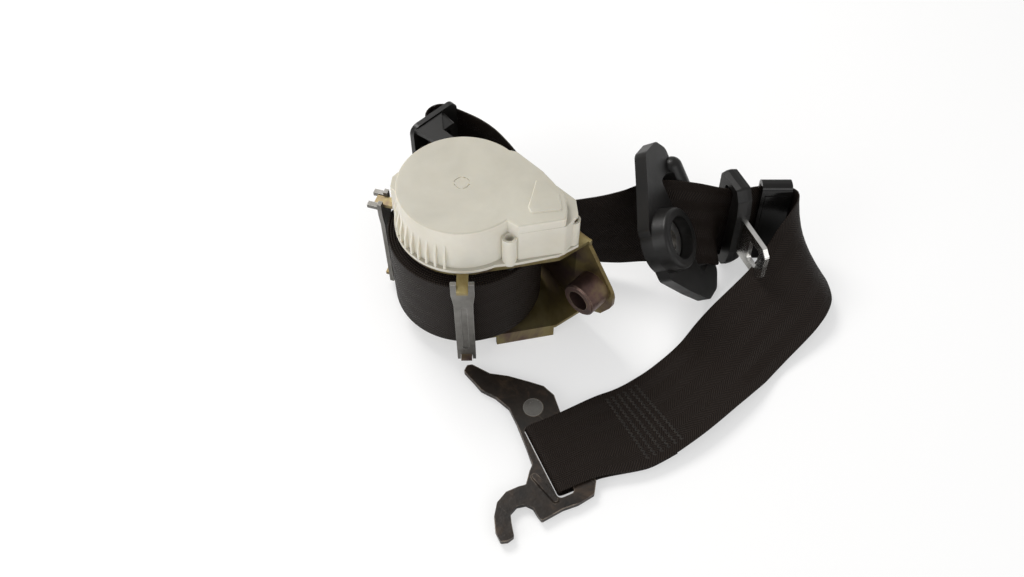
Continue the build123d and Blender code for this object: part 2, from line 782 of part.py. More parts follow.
tongue_place = (143.0, 31.5, 29.6)
keeper_place = (165.0, 33.3, 26.8)
straight_stations = [first_upright, leaning(66, 21.5, 32.0, 6), leaning(82, 22, 33.5, 15),
                     wide(laid(91, 33, 55.7), laid(98, 13, 15.6)), wide(laid(98, 34.5, 57.2), laid(120, 10.1, 17)),
                     wide(laid(108.5, 34.5, 57.2), laid(131, 10.1, 17)),
                     wide(laid(122, 34.6, 55), laid(137.2, 12.6, 13)),
                     wide(laid(138.2, 33, 52.3), laid(138.9, 29.5, 5.5)), leaning(143, 31.5, 28.8, 3.5),
                     leaning(148, 32.2, 28.4, 3.5), leaning(156, 33, 27.4, 8), leaning(165, 33.3, 26.8, 8),
                     leaning(175, 33.5, 26.4, 8)]
with BuildPart() as webbing_mid_run:
    loft(strap(straight_stations, start=belt_way, end=belt_way), ruled=True)
save(webbing_mid_run, "webbing_mid_run")


# Front run: rolls over an oblique bend and comes back face up to the anchor

front_stations = [leaning(175, 33.5, 26.4, 8),
                  (laid(180.5, 33, 48.5), laid(186.5, 16, 5)), (laid(183, 27, 46.5), laid(194.5, 7, 5.5)),
                  (laid(182, 19, 43.5), laid(198.5, -3, 5.5)), (laid(177, 11.5, 40), laid(199, -12.5, 6)),
                  (laid(170, 4, 35.5), laid(196, -22.5, 6)), (laid(163, -2, 31), laid(191, -30, 6)),
                  (laid(155, -8, 27), laid(184, -38, 6)), (laid(146, -14, 22), laid(176, -46.5, 6)),
                  (laid(134, -21.5, 14.5), laid(164.3, -56.5, 6)), (laid(122, -29.5, 9), laid(151, -66.5, 6.5)),
                  (laid(108.7, -38, 6), laid(136.2, -76, 7)), (laid(97, -47, 5.2), laid(124.5, -85, 7)),
                  (laid(85.3, -55.5, 5.2), laid(112.6, -93.7, 7)), (laid(73, -63.5, 5.6), laid(101, -101.2, 7.2))]
loop_centre = Vector(102.6, -35.6, 6.2)
across_loop = Vector(cos(radians(anchor_slot_turn)), sin(radians(anchor_slot_turn)), 0)
along_loop = Vector(-across_loop.Y, across_loop.X, 0)


def loop_station(back, width, height):
    middle = loop_centre + along_loop * back + Vector(0, 0, height)
    return (middle - across_loop * (width / 2), middle + across_loop * (width / 2))


front_stations += [loop_station(20, 43, 0.4), loop_station(11, loop_width_at_anchor, 0)]
with BuildPart() as webbing_front_run:
    loft(strap(front_stations, start=belt_way, end=-along_loop), ruled=True)
save(webbing_front_run, "webbing_front_run")

# Sewn end loop round the anchor's bar
loop_edge = loop_centre - across_loop * (loop_width_at_anchor / 2)
loop_plane = Plane(origin=(loop_edge.X, loop_edge.Y, 0), x_dir=along_loop, z_dir=across_loop)
upper = loop_centre.Z
lower = 1.2
bend = (upper - lower) / 2
with BuildPart() as webbing_end_loop:
    with BuildSketch(loop_plane):
        with BuildLine() as loop_line:
            Line((10.35, upper), (-6.4, upper))
            TangentArc((-6.4, upper), (-6.4, lower), tangent=(-1, 0))
            Line((-6.4, lower), (9.5, lower))
            Line((9.5, lower), (20, 3.2))
            offset(amount=web_thick / 2, side=Side.BOTH)
        make_face()
    extrude(amount=loop_width_at_anchor)
save(webbing_end_loop, "webbing_end_loop")


# Floor anchor: stamped plate with tip, slot and hook

with BuildPart() as anchor_plate:
    with BuildSketch(Plane.XY.offset(anchor_low)) as anchor_outline:
        with BuildLine():
            Polyline((33.4, -33.8), (35, -31.6), (45.5, -29.1), (53.2, -23.7), (63.5, -18.6), (70.6, -15.4),
                     (78, -15.6), (86.5, -20.5), (124.5, -36.5), (128.2, -42), (126, -51), (122.6, -58),
                     (119.4, -69.2), (116, -68.6), (112, -67.4), (108.4, -68.5), (106, -72.1), (106.3, -76.7),
                     (109.7, -79.6), (115.4, -83.7), (114.9, -87.3), (112.8, -89.9), (107.4, -87.9),
                     (102, -83.3), (98, -77.3), (97.3, -70.4), (99.7, -64.3), (101.5, -61.2), (97.9, -54.9),
                     (96.5, -51.3), (87.7, -46.5), (75, -40.2), (66.7, -36.8), (57.2, -37), (49, -39.1),
                     (42.6, -38.2), (34.7, -37.3), close=True)
        make_face()
        fillet(anchor_outline.vertices(), 0.9)
    extrude(amount=anchor_thick)
    with BuildSketch(Plane(origin=(loop_centre.X, loop_centre.Y, anchor_low), x_dir=across_loop, z_dir=(0, 0, 1))):
        with Locations((1.2, -8.6)):
            RectangleRounded(anchor_slot_length, anchor_slot_width, 2.4)
    extrude(amount=anchor_thick, mode=Mode.SUBTRACT)
    with BuildSketch(Plane.XY.offset(anchor_low)):
        with Locations((75.2, -28.3)):
            Circle(5.0)
    extrude(amount=anchor_thick, mode=Mode.SUBTRACT)
    # pressed ridge between slot and hook
    with BuildSketch(Plane(origin=(109.5, -56.4, anchor_low + anchor_thick), x_dir=(1, -0.12, 0), z_dir=(0, 0, 1))):
        SlotOverall(19, 3.6)
    extrude(amount=1.1, taper=25)
save(anchor_plate, "anchor_plate")

with BuildPart() as anchor_stud:
    with BuildSketch(Plane.XY.offset(anchor_low)):
        with Locations((75.2, -28.3)):
            Circle(5.0)
    extrude(amount=anchor_thick + 0.2)
    with BuildSketch(Plane.XY):
        with Locations((75.2, -28.3)):
            Circle(4.0)
    extrude(amount=anchor_low)
save(anchor_stud, "anchor_stud")


# Pillar loop: steel core, moulding with hood and cup, bolt bush and spring washer

loop_long = Vector(-0.435, 0.468, 0.769).normalized()
loop_facing = Vector(0.771, -0.248, 0.587).normalized()
loop_origin = Vector(105.0, 10.2, 40.7)
loop_plane_tilt = Plane(origin=laid(*loop_origin), x_dir=laid(*loop_long),
                        z_dir=laid(*loop_facing))
slot_offset = -15.2
hood_radius = 5.7
boss_spot = (1.0, 8.5)


def loop_outline(grow):
    with BuildLine() as outline:
        Polyline((-loop_half - grow, -18), (6 - loop_half, -25.5 - grow), (loop_half - 6, -25.5 - grow),
                 (loop_half + grow, -20), (loop_half + grow, -6), (30, 6 + grow), (14, 21 + grow),
                 (-15, 21 + grow), (-32, 6 + grow), (-loop_half - grow, -6), close=True)
    return outline.edges()


with BuildPart() as pillar_loop_core:
    with BuildSketch(loop_plane_tilt) as core_shape:
        make_face(loop_outline(0))
        fillet(core_shape.vertices(), 4)
        with Locations((loop_slot_shift, slot_offset)):
            RectangleRounded(loop_slot + 3, loop_slot_width + 2, 3.5, mode=Mode.SUBTRACT)
        with Locations(boss_spot):
            Circle(8.0, mode=Mode.SUBTRACT)
    extrude(amount=loop_plate)
save(pillar_loop_core, "pillar_loop_core")

with BuildPart() as pillar_loop_moulding:
    # skins on both faces, closed round the steel's edge
    with BuildSketch(loop_plane_tilt.offset(-1.6)) as skin:
        make_face(loop_outline(1.2))
        fillet(skin.vertices(), 5)
    extrude(amount=loop_plate + 1.6 + 2.2)
    # rounded hood along the outer bar of the slot
    hood = Plane(origin=loop_plane_tilt.from_local_coords((3, slot_offset - 10.8, loop_plate + 1.6)),
                 x_dir=loop_plane_tilt.y_dir, z_dir=loop_plane_tilt.x_dir)
    with BuildSketch(hood):
        Circle(hood_radius)
    extrude(amount=24)
    with Locations(loop_plane_tilt.from_local_coords((27, slot_offset - 10.8, loop_plate + 1.6))):
        Sphere(hood_radius)
    # cup round the bolt
    with BuildSketch(loop_plane_tilt.offset(-1.6)):
        with Locations(boss_spot):
            Circle(cup_radius)
    extrude(amount=loop_plate + 1.6 + 2.2)
    with BuildSketch(loop_plane_tilt.offset(loop_plate + 2.2)):
        with Locations(boss_spot):
            Circle(cup_radius)
    extrude(amount=8, taper=8)
    fillet(pillar_loop_moulding.edges().filter_by(GeomType.CIRCLE).sort_by(Axis((0, 0, 0), loop_plane_tilt.z_dir))[-1], 2)
    with BuildSketch(loop_plane_tilt.offset(loop_plate + 2.2)):
        with Locations(boss_spot):
            Circle(11.2)
    extrude(amount=9, mode=Mode.SUBTRACT)
    with BuildSketch(loop_plane_tilt.offset(-3)):
        with Locations(boss_spot):
            Circle(8.0)
    extrude(amount=12, mode=Mode.SUBTRACT)
    with BuildSketch(loop_plane_tilt.offset(-12)):
        with Locations((loop_slot_shift, slot_offset)):
            RectangleRounded(loop_slot, loop_slot_width, 2.5)
    extrude(amount=30, mode=Mode.SUBTRACT)
    add(pillar_loop_core.part, mode=Mode.SUBTRACT)
save(pillar_loop_moulding, "pillar_loop_moulding")

with BuildPart() as pillar_loop_bush:
    with BuildSketch(loop_plane_tilt.offset(-2.6)):
        with Locations(boss_spot):
            Circle(8.0 - running_gap)
    extrude(amount=9)
    with BuildSketch(loop_plane_tilt.offset(loop_plate + 2.25)):
        with Locations(boss_spot):
            Circle(10.4)
    extrude(amount=1.4)
    with BuildSketch(loop_plane_tilt.offset(-4.1)):
        with Locations(boss_spot):
            Circle(10.4)
    extrude(amount=2.45)
    with BuildSketch(loop_plane_tilt.offset(-6)):
        with Locations(boss_spot):
            Circle(bolt_bore / 2)
    extrude(amount=20, mode=Mode.SUBTRACT)
save(pillar_loop_bush, "pillar_loop_bush")


# Tongue: stamped blade with slot, and the moulded grip

tongue_facing = Vector(0.94, 0.342, 0).normalized()
tongue_slot_dir = Vector(-0.02, 0.055, 0.998).normalized()
tongue_half = tongue_slot / 2 + 3
tongue_plane = Plane(origin=laid(*tongue_place), x_dir=laid(*tongue_slot_dir),
                     z_dir=laid(*tongue_facing))

with BuildPart() as tongue_plate:
    with BuildSketch(tongue_plane.offset(-tongue_plate_thick / 2)) as blade_shape:
        with BuildLine():
            Polyline((-tongue_half, -9), (tongue_half, -9), (tongue_half, 6), (22, 8.5), (12, 9.5),
                     (11.5, 34.5), (8, 38.5), (-8, 38.5), (-11.5, 34.5), (-12, 9.5), (-22, 8.5),
                     (-tongue_half, 6), close=True)
        make_face()
        fillet(blade_shape.vertices(), 2)
        with Locations((0, 28)):
            RectangleRounded(13, 9, 1.2, mode=Mode.SUBTRACT)
        RectangleRounded(tongue_slot + 2, tongue_slot_width + 2, 3, mode=Mode.SUBTRACT)
    extrude(amount=tongue_plate_thick)
save(tongue_plate, "tongue_plate")

def grip_outline():
    with BuildLine() as outline:
        Polyline((-tongue_half - 1.2, -10.2), (tongue_half + 1.2, -10.2), (tongue_half + 1.2, 7.2),
                 (23, 11), (13.5, 12.5), (-13.5, 12.5), (-23, 11), (-tongue_half - 1.2, 7.2), close=True)
    return outline.edges()


with BuildPart() as tongue_grip:
    with BuildSketch(tongue_plane.offset(-tongue_plate_thick / 2)) as grip_middle:
        make_face(grip_outline())
        fillet(grip_middle.vertices(), 2.5)
    extrude(amount=tongue_plate_thick)
    for side in (1, -1):
        with BuildSketch(tongue_plane.offset(side * tongue_plate_thick / 2)) as grip_shape:
            make_face(grip_outline())
            fillet(grip_shape.vertices(), 2.5)
        extrude(amount=side * 2.8, taper=14)
    add(tongue_plate.part, mode=Mode.SUBTRACT)
    with BuildSketch(tongue_plane.offset(-tongue_plate_thick / 2)) as liner:
        RectangleRounded(tongue_slot + 2, tongue_slot_width + 2, 3)
    extrude(amount=tongue_plate_thick)
    with BuildSketch(tongue_plane.offset(-8)):
        RectangleRounded(tongue_slot, tongue_slot_width, 2.5)
    extrude(amount=16, mode=Mode.SUBTRACT)
save(tongue_grip, "tongue_grip")


# Keeper: glossy loop that stops the tongue sliding

keeper_lean = radians(8)
keeper_plane = Plane(origin=laid(keeper_place[0] - 8, keeper_place[1], keeper_place[2]),
                     x_dir=laid(0, sin(keeper_lean), cos(keeper_lean)), z_dir=laid(1, 0, 0))
with BuildPart() as webbing_keeper:
    with BuildSketch(keeper_plane) as keeper_shape:
        RectangleRounded(web_width + 2 + 2 * keeper_wall, 9.0, 3.6)
        RectangleRounded(web_width + 2, 4.6, 1.4, mode=Mode.SUBTRACT)
    extrude(amount=16)
    with BuildSketch(keeper_plane.offset(2)):
        with Locations((0, 4.5), (0, -4.5)):
            Rectangle(web_width - 6, 1.0)
    extrude(amount=12)
save(webbing_keeper, "webbing_keeper")
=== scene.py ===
import math
import random

import bpy
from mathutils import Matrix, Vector


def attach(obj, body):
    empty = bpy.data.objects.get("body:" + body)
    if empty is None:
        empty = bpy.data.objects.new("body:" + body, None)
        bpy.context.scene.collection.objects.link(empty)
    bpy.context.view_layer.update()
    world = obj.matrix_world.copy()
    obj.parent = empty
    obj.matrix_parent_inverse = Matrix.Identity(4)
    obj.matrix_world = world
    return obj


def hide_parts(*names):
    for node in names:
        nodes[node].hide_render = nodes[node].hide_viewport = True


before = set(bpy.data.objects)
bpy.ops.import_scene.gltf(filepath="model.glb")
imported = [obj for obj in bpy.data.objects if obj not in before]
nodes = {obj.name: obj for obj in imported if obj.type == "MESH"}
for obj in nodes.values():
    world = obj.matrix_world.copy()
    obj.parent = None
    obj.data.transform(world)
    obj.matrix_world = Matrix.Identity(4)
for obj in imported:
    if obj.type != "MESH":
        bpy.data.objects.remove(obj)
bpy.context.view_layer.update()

MM = 0.001
BELT_TURN = math.radians(44)      # the laid-out belt stands at this angle to the reel's own axes
WEB_WIDTH = 0.047
WEB_THICK = 0.0012
WEB_MM = 47                       # the same width in millimetres, for the strap's stations
BLACK, WHITE = (0, 0, 0), (1, 1, 1)


# ---------------------------------------------------------------- materials

class Paint:
    """A node material under construction, with noise and bumps in metres of the object's space."""

    def __init__(self, name, rough=0.5, metal=0.0, specular=0.5):
        self.mat = bpy.data.materials.new(name)
        self.mat.use_nodes = True
        self.tree = self.mat.node_tree
        self.shader = self.tree.nodes["Principled BSDF"]
        self.shader.inputs["Roughness"].default_value = rough
        self.shader.inputs["Metallic"].default_value = metal
        self.shader.inputs["Specular IOR Level"].default_value = specular
        self.coords = self.tree.nodes.new("ShaderNodeTexCoord")
        self.space = self.coords.outputs["Object"]
        self.height = None

    def node(self, kind, **settings):
        made = self.tree.nodes.new(kind)
        for key, value in settings.items():
            setattr(made, key, value)
        return made

    def link(self, a, b):
        self.tree.links.new(a, b)

    def stretched(self, scale):
        mapping = self.node("ShaderNodeMapping")
        mapping.inputs["Scale"].default_value = scale
        self.link(self.space, mapping.inputs["Vector"])
        return mapping.outputs["Vector"]

    def noise(self, scale, detail=4.0, rough=0.55, distortion=0.0, vector=None):
        made = self.node("ShaderNodeTexNoise")
        made.inputs["Scale"].default_value = scale
        made.inputs["Detail"].default_value = detail
        made.inputs["Roughness"].default_value = rough
        made.inputs["Distortion"].default_value = distortion
        self.link(vector or self.space, made.inputs["Vector"])
        return made.outputs["Fac"]

    def ramp(self, value, *stops):
        made = self.node("ShaderNodeValToRGB")
        ramp = made.color_ramp
        while len(ramp.elements) < len(stops):
            ramp.elements.new(0.5)
        for element, (place, colour) in zip(ramp.elements, stops):
            element.position = place
            element.color = (*colour, 1)
        self.link(value, made.inputs["Fac"])
        return made.outputs["Color"]

    def mask(self, value, low, high):
        """Black up to low and white from high."""
        return self.ramp(value, (low, BLACK), (high, WHITE))

    def share(self, value, amount):
        return self.math("MULTIPLY", value, amount)

    def mix(self, factor, a, b):
        made = self.node("ShaderNodeMix", data_type="RGBA")
        for socket, value in ((made.inputs[0], factor), (made.inputs[6], a), (made.inputs[7], b)):
            if isinstance(value, (int, float)):
                socket.default_value = value
            elif isinstance(value, tuple):
                socket.default_value = (*value, 1)
            else:
                self.link(value, socket)
        return made.outputs[2]

    def math(self, operation, a, b):
        made = self.node("ShaderNodeMath", operation=operation)
        for socket, value in zip(made.inputs, (a, b)):
            if isinstance(value, (int, float)):
                socket.default_value = value
            else:
                self.link(value, socket)
        return made.outputs[0]

    def colour(self, value):
        if isinstance(value, tuple):
            self.shader.inputs["Base Color"].default_value = (*value, 1)
        else:
            self.link(value, self.shader.inputs["Base Color"])

    def roughness(self, value, low, high):
        spread = self.node("ShaderNodeMapRange")
        spread.inputs["To Min"].default_value = low
        spread.inputs["To Max"].default_value = high
        self.link(value, spread.inputs["Value"])
        self.link(spread.outputs[0], self.shader.inputs["Roughness"])

    def bump(self, value, distance, strength=1.0):
        made = self.node("ShaderNodeBump")
        made.inputs["Strength"].default_value = strength
        made.inputs["Distance"].default_value = distance
        self.link(value, made.inputs["Height"])
        if self.height is not None:
            self.link(self.height, made.inputs["Normal"])
        self.height = made.outputs["Normal"]
        self.link(self.height, self.shader.inputs["Normal"])

    def edges(self, radius=0.0008, low=0.01, high=0.12):
        """Where two faces meet at an edge: 0 on flats, rising to 1 along the edge itself."""
        rounded = self.node("ShaderNodeBevel", samples=6)
        rounded.inputs["Radius"].default_value = radius
        plain = self.node("ShaderNodeNewGeometry")
        along = self.node("ShaderNodeVectorMath", operation="DOT_PRODUCT")
        self.link(rounded.outputs["Normal"], along.inputs[0])
        self.link(plain.outputs["Normal"], along.inputs[1])
        spread = self.node("ShaderNodeMapRange")
        spread.inputs["From Min"].default_value = low
        spread.inputs["From Max"].default_value = high
        self.link(self.math("SUBTRACT", 1.0, along.outputs["Value"]), spread.inputs["Value"])
        return spread.outputs[0]

    def scratches(self, direction, scale=900, cut=0.68):
        """Fine straight scratches: noise stretched along one axis and cut to its peaks."""
        stretch = tuple(0.04 if axis == direction else 1.0 for axis in "xyz")
        drawn_out = self.noise(scale, 2, 0.5, 0.0, self.stretched(stretch))
        return self.mask(drawn_out, cut, cut + 0.05)


def tinted(tone, red, green, blue):
    """A grey tone with each channel scaled by its own factor."""
    return (tone * red, tone * green, tone * blue)


def zinc_passivate():
    """Yellow chromate over zinc: olive gold with brown and violet bloom."""
    p = Paint("yellow zinc passivate", rough=0.42, metal=0.82)
    broad = p.noise(38, 5, 0.6, 0.6)
    fine = p.noise(260, 3)
    base = p.ramp(broad, (0.30, (0.105, 0.072, 0.035)), (0.45, (0.22, 0.165, 0.062)),
                  (0.58, (0.29, 0.24, 0.11)), (0.72, (0.15, 0.095, 0.080)))
    bloom = p.mask(p.noise(21, 3, 0.5, 1.4), 0.47, 0.66)
    bloomed = p.mix(bloom, base, (0.105, 0.060, 0.072))
    p.colour(p.mix(p.share(fine, 0.2), bloomed, (0.34, 0.29, 0.16)))
    p.roughness(broad, 0.32, 0.56)
    p.bump(p.noise(900, 2), 0.00004, 0.6)
    return p.mat


def violet_passivate():
    """The sleeve's thicker chromate: brown with a violet bloom, rubbed back to olive along its rim."""
    p = Paint("violet brown passivate", rough=0.4, metal=0.75)
    broad = p.noise(75, 4, 0.6, 0.4)
    base = p.ramp(broad, (0.34, (0.075, 0.045, 0.042)), (0.52, (0.135, 0.080, 0.066)),
                  (0.70, (0.20, 0.145, 0.075)))
    p.colour(p.mix(p.share(p.edges(0.0006), 0.5), base, (0.36, 0.32, 0.22)))
    p.roughness(broad, 0.3, 0.52)
    p.bump(p.noise(900, 2), 0.00004, 0.6)
    return p.mat


def grey_zinc(name="dull grey zinc", tone=0.20):
    """Grey zinc on punched steel: mottled, scratched up and down, bright along the rubbed edges."""
    p = Paint(name, rough=0.46, metal=0.85)
    broad = p.noise(70, 5, 0.6)
    base = p.ramp(broad, (0.3, tinted(tone, 0.6, 0.57, 0.52)), (0.7, tinted(tone, 1.2, 1.17, 1.1)))
    marked = p.mix(p.share(p.scratches("z"), 0.4), base, tinted(tone, 2.2, 2.15, 2.05))
    p.colour(p.mix(p.share(p.edges(0.0006), 0.45), marked, (0.42, 0.41, 0.39)))
    p.roughness(p.noise(150, 4), 0.34, 0.6)
    p.bump(p.noise(700, 2), 0.00005, 0.6)
    return p.mat


def cover_nylon():
    """Natural nylon: warm, slightly translucent, with soft flow marks, and upward faces painted darker
    than the walls as painted shade.
    """
    p = Paint("warm white nylon", rough=0.44)
    p.shader.inputs["Subsurface Weight"].default_value = 0.22
    p.shader.inputs["Subsurface Radius"].default_value = (0.004, 0.003, 0.0018)
    p.shader.inputs["Subsurface Scale"].default_value = 1.0
    broad = p.noise(30, 4, 0.55, 0.4)
    wall = p.ramp(broad, (0.32, (0.70, 0.66, 0.56)), (0.68, (0.80, 0.77, 0.68)))
    shaded_top = p.ramp(broad, (0.32, (0.42, 0.40, 0.335)), (0.68, (0.50, 0.48, 0.405)))
    # painted shade: upward faces are coloured darker than the walls, standing in for how the light
    # falls on them
    split = p.node("ShaderNodeSeparateXYZ")
    p.link(p.coords.outputs["Normal"], split.inputs[0])
    upward = p.mask(split.outputs["Z"], 0.35, 0.9)
    base = p.mix(upward, wall, shaded_top)
    p.colour(p.mix(p.share(p.noise(330, 3), 0.10), base, (0.36, 0.31, 0.25)))
    p.roughness(p.noise(90, 4), 0.36, 0.52)
    p.bump(p.noise(1500, 2), 0.00003, 0.5)
    return p.mat


def black_plastic(name="black moulded plastic", tone=0.0055, low=0.30, high=0.46, grain=0.00005):
    """Warm black moulding; low and high are its smoothest and roughest patches."""
    p = Paint(name, rough=0.38, specular=0.34)
    broad = p.noise(60, 4)
    p.colour(p.ramp(broad, (0.3, tinted(tone, 0.8, 0.76, 0.72)), (0.7, tinted(tone, 1.5, 1.35, 1.2))))
    p.roughness(p.noise(140, 4), low, high)
    p.bump(p.noise(1800, 2), grain, 0.5)
    return p.mat


def anchor_steel():
    """Dark brown-black coating rubbed to steel along the edges."""
    p = Paint("worn dark anchor steel", rough=0.42, metal=0.15, specular=0.35)
    broad = p.noise(95, 5, 0.65, 0.5)
    base = p.ramp(broad, (0.3, (0.0065, 0.0050, 0.0040)), (0.55, (0.017, 0.0115, 0.008)),
                  (0.72, (0.052, 0.033, 0.020)))
    scuffed = p.mix(p.share(p.scratches("x", 520, 0.66), 0.35), base, (0.085, 0.066, 0.050))
    patchy = p.mask(p.noise(130, 4, 0.6), 0.42, 0.62)
    worn = p.math("MULTIPLY", p.edges(0.0010), patchy)
    p.colour(p.mix(worn, scuffed, (0.23, 0.185, 0.145)))
    p.roughness(p.noise(170, 4), 0.26, 0.52)
    p.bump(p.noise(520, 3), 0.00016, 0.7)
    return p.mat


def plain_metal(name, colour, low, high):
    """Bare metal, mottled a little; low and high are its smoothest and roughest patches."""
    p = Paint(name, metal=1.0)
    broad = p.noise(120, 4)
    dull, bright = (tuple(c * factor for c in colour) for factor in (0.8, 1.1))
    p.colour(p.ramp(broad, (0.3, dull), (0.7, bright)))
    p.roughness(p.noise(240, 3), low, high)
    p.bump(p.noise(900, 2), 0.00003, 0.4)
    return p.mat


def white_acetal():
    p = Paint("white acetal", rough=0.4)
    p.colour(p.ramp(p.noise(80, 3), (0.3, (0.62, 0.61, 0.57)), (0.7, (0.74, 0.73, 0.70))))
    p.roughness(p.noise(120, 3), 0.34, 0.5)
    p.bump(p.noise(1200, 2), 0.00003, 0.4)
    return p.mat


LANE_WIDTH = 0.0052       # ribs lean one way across one lane and the other way across the next
RIB_LEAN = 0.0040         # how far along the strap a rib runs while it crosses a lane
RIB_PITCH = 0.00125
THREAD_PITCH = 0.00062


def webbing_weave():
    """Herringbone webbing from its own flat coordinates: U across and V along, both in metres."""
    p = Paint("woven webbing", specular=0.16)
    uv = p.node("ShaderNodeUVMap", uv_map="flat")
    split = p.node("ShaderNodeSeparateXYZ")
    p.link(uv.outputs["UV"], split.inputs[0])
    across, along = split.outputs["X"], split.outputs["Y"]
    lane = p.math("PINGPONG", p.math("DIVIDE", across, LANE_WIDTH), 1.0)
    slope = p.share(lane, RIB_LEAN)
    diagonal = p.math("DIVIDE", p.math("ADD", along, slope), RIB_PITCH)
    rib = p.math("PINGPONG", diagonal, 0.5)
    ribs = p.math("SMOOTH_MIN", p.share(rib, 2.2), 1.0)
    thread = p.math("PINGPONG", p.math("DIVIDE", across, THREAD_PITCH), 0.5)
    weave = p.math("ADD", p.share(ribs, 0.75), p.share(thread, 0.5))
    patchy = p.noise(45, 4, 0.6)
    # painted highlight and shade: rib crests are coloured lighter and the grooves between them darker,
    # following the rib height
    dark = p.ramp(weave, (0.10, (0.0024, 0.0017, 0.0014)), (0.55, (0.0085, 0.0054, 0.0039)),
                  (0.95, (0.026, 0.0165, 0.0110)))
    p.colour(p.mix(p.share(patchy, 0.3), dark, (0.0150, 0.0098, 0.0070)))
    p.roughness(weave, 0.72, 0.42)
    p.bump(weave, 0.00040, 0.9)
    p.bump(p.noise(2500, 2), 0.00006, 0.4)
    return p.mat


def thread_black():
    p = Paint("black sewing thread", rough=0.55, specular=0.3)
    p.colour(p.ramp(p.noise(900, 2), (0.3, (0.007, 0.006, 0.005)), (0.7, (0.030, 0.024, 0.019))))
    p.bump(p.noise(3000, 2), 0.00005, 0.5)
    return p.mat


ZINC = zinc_passivate()
VIOLET = violet_passivate()
BAR = grey_zinc()
NYLON = cover_nylon()
PLASTIC = black_plastic()
GLOSS = black_plastic("glossy black plastic", 0.005, 0.08, 0.2, 0.00002)
ANCHOR = anchor_steel()
STUD = grey_zinc("grey stud", 0.16)
ALLOY = plain_metal("die-cast alloy", (0.55, 0.55, 0.54), 0.35, 0.55)
STEEL = plain_metal("machined steel", (0.50, 0.49, 0.47), 0.25, 0.45)
BRIGHT = plain_metal("bright tongue steel", (0.78, 0.77, 0.74), 0.14, 0.30)
SPRING = plain_metal("blued spring steel", (0.22, 0.23, 0.27), 0.25, 0.4)
ACETAL = white_acetal()
WEAVE = webbing_weave()
THREAD = thread_black()

LOOKS = {
    "frame": ZINC, "mount_sleeve": VIOLET, "tie_bar_front": BAR, "tie_bar_left": BAR,
    "mechanism_cover": NYLON, "cover_pins": PLASTIC, "bottom_cap": PLASTIC, "bottom_bush": ACETAL,
    "spool": ALLOY, "webbing_pin": STEEL, "torsion_bar": STEEL, "locking_base": STEEL,
    "lock_pawl": STEEL, "lock_disc": ACETAL, "spring_plate": PLASTIC, "top_bush": ACETAL,
    "spring_arbor": ACETAL, "mainspring": SPRING, "sensor_ball": BRIGHT, "sensor_housing": ACETAL,
    "sensor_lever": PLASTIC, "webbing_guide": PLASTIC, "anchor_plate": ANCHOR, "anchor_stud": STUD,
    "pillar_loop_core": STEEL, "pillar_loop_moulding": PLASTIC, "pillar_loop_bush": STEEL,
    "tongue_plate": BRIGHT, "tongue_grip": PLASTIC, "webbing_keeper": GLOSS,
}
for name, look in LOOKS.items():
    nodes[name].data.materials.clear()
    nodes[name].data.materials.append(look)

# width of the rounded edge on each piece, in millimetres
EDGE_ROUND = {
    "frame": 0.35, "mechanism_cover": 0.5, "webbing_guide": 0.7, "anchor_plate": 0.7,
    "tie_bar_front": 0.3, "tie_bar_left": 0.3, "pillar_loop_moulding": 0.8, "tongue_grip": 0.9,
    "webbing_keeper": 0.6, "tongue_plate": 0.3, "mount_sleeve": 0.4, "pillar_loop_core": 0.5,
    "bottom_cap": 0.4,
}
for name, width in EDGE_ROUND.items():
    rounded = nodes[name].modifiers.new("rounded edges", "BEVEL")
    rounded.width = width * MM
    rounded.segments = 2
    rounded.limit_method = "ANGLE"
    rounded.angle_limit = math.radians(35)
    rounded.harden_normals = True
    for face in nodes[name].data.polygons:
        face.use_smooth = True


# ---------------------------------------------------------------- webbing

def laid(x, y, z):
    """Millimetres along, across and above the laid-out belt, as a point in the reel's metres."""
    c, s = math.cos(BELT_TURN), math.sin(BELT_TURN)
    return Vector((x * c - y * s, x * s + y * c, z)) * MM


def upright(x, y, low):
    """Upper and lower edge of a stretch that stands straight up, in the reel's own millimetres."""
    return (Vector((x, y, low + WEB_MM)) * MM, Vector((x, y, low)) * MM)


def leaning(x, y, z, lean):
    """Both edges of a stretch about a middle point, leaning back by an angle in degrees."""
    a = math.radians(lean)
    dy, dz = WEB_MM / 2 * math.sin(a), WEB_MM / 2 * math.cos(a)
    return (laid(x, y + dy, z + dz), laid(x, y - dy, z - dz))


def edge_pair(x1, y1, z1, x2, y2, z2):
    """Upper and lower edge given one by one, where the strap twists."""
    return (laid(x1, y1, z1), laid(x2, y2, z2))


ANCHOR_TURN = math.radians(-22)
ANCHOR_X, ANCHOR_Y = 102.6, -35.6     # middle of the strap at the anchor's slot
GATHERED = 38.5                       # the strap is drawn together to this width in the slot


def anchor_station(back, width, height):
    """Both edges beside the anchor, at a distance back from the slot and a height over the floor."""
    across = Vector((math.cos(ANCHOR_TURN), math.sin(ANCHOR_TURN), 0))
    along = Vector((-across.y, across.x, 0))
    middle = (Vector((ANCHOR_X, ANCHOR_Y, height)) + along * back) * MM
    return (middle - across * (width / 2 * MM), middle + across * (width / 2 * MM))


